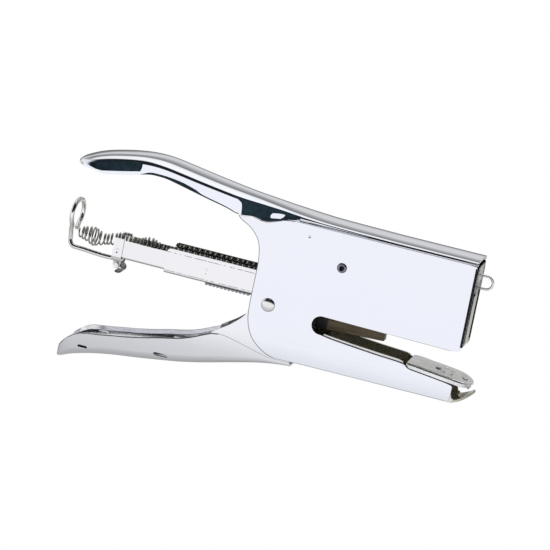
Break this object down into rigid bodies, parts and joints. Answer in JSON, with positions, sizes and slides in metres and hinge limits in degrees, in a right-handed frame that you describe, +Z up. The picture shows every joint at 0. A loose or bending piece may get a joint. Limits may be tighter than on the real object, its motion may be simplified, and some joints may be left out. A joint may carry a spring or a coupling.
{
  "type": "plier stapler",
  "caption": "Hand-held plier stapler: squeezing the lower handle presses the magazine and driver onto the anvil; the rail slides out behind to load.",
  "frame": {"origin": "bottom centre of the stapler's box at rest", "axes": "+X forward along the magazine towards the anvil, +Y to the left side, +Z up towards the top cover"},
  "size_m": [0.1884, 0.021, 0.0965],
  "materials": {
    "browned_steel": "browned oxide finish",
    "chrome": "bright chrome plate",
    "hard_steel": "ground hardened steel",
    "nickel": "warm bright nickel plate",
    "spring_steel": "drawn spring steel",
    "zinc": "satin zinc plate"
  },
  "bodies": {
    "housing": {"side_plate_left": "chrome", "side_plate_right": "chrome", "upper_handle": "chrome", "main_rivet": "nickel", "upper_rivet": "hard_steel", "upper_spacer": "zinc", "jaw_channel": "nickel", "anvil_plate": "zinc", "anvil_leaf": "spring_steel", "anvil_rivet_rear": "nickel", "anvil_rivet_front": "nickel", "front_guide_plate": "nickel", "front_loop": "spring_steel", "jaw_spring_pin": "zinc", "return_spring": "spring_steel"},
    "lower_lever": {"lower_handle": "chrome", "driver_pin": "hard_steel", "driver_roller": "zinc", "lever_spring_pin": "zinc"},
    "magazine": {"magazine_channel": "nickel", "magazine_runner": "spring_steel", "paper_stop": "browned_steel"},
    "driver": {"driver_blade": "hard_steel"},
    "rail": {"staple_rail": "nickel", "rail_collar": "nickel", "bail_wire": "nickel", "hook_pin": "zinc", "pusher_spring": "spring_steel"},
    "pusher": {"pusher": "zinc"},
    "hook": {"latch_hook": "spring_steel"}
  },
  "joints": [
    {"name": "handle_squeeze", "type": "hinge", "parent": "housing", "child": "lower_lever", "pos_m": [0.00063, 0, 0.0464], "axis": [0, 1, 0], "range_deg": [0, 16.3], "deforming": ["return_spring"]},
    {"name": "magazine_close", "type": "hinge", "parent": "housing", "child": "magazine", "pos_m": [0.00063, 0, 0.0464], "axis": [0, 1, 0], "range_deg": [0, 8.5]},
    {"name": "driver_stroke", "type": "slide", "parent": "magazine", "child": "driver", "axis": [0, 0, -1], "range_m": [0, 0.0105]},
    {"name": "rail_pull", "type": "slide", "parent": "magazine", "child": "rail", "axis": [-1, 0, 0], "range_m": [0, 0.065]},
    {"name": "pusher_travel", "type": "slide", "parent": "rail", "child": "pusher", "axis": [-1, 0, 0], "range_m": [0, 0.055], "deforming": ["pusher_spring"]},
    {"name": "hook_release", "type": "hinge", "parent": "rail", "child": "hook", "pos_m": [-0.06947, 0, 0.0458], "axis": [0, 1, 0], "range_deg": [0, 25]}
  ],
  "couplings": [
    {"joint": "magazine_close", "follows": "handle_squeeze", "ratio": 0.5153},
    {"joint": "driver_stroke", "follows": "handle_squeeze", "m_per_rad": 0.0365}
  ]
}
